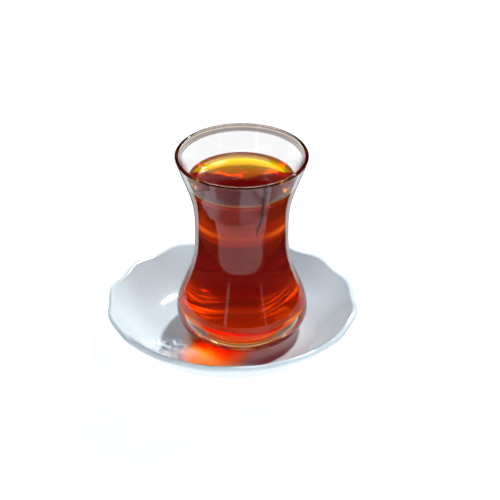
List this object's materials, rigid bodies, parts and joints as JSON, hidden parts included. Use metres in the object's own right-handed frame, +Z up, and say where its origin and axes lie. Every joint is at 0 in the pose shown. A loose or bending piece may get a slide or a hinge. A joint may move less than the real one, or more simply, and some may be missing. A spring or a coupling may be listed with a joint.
{
  "type": "turkish tea glass",
  "caption": "Narrow-waisted clear glass of black tea standing on a white porcelain saucer with a softly scalloped rim.",
  "frame": {"origin": "centre of the saucer's foot ring, on the table", "axes": "+Z up; +X to the right and +Y away from the viewer in the picture, whose camera looks towards +Y and down"},
  "size_m": [0.1132, 0.1143, 0.0932],
  "materials": {
    "clear_glass": "clear, smooth",
    "black_tea": "clear brewed black tea, deep red where it is thick and amber where it is thin",
    "white_porcelain": "bluish-white gloss glaze"
  },
  "bodies": {
    "root": {"tea_glass": "clear_glass", "tea": "black_tea", "saucer": "white_porcelain"}
  },
  "joints": []
}
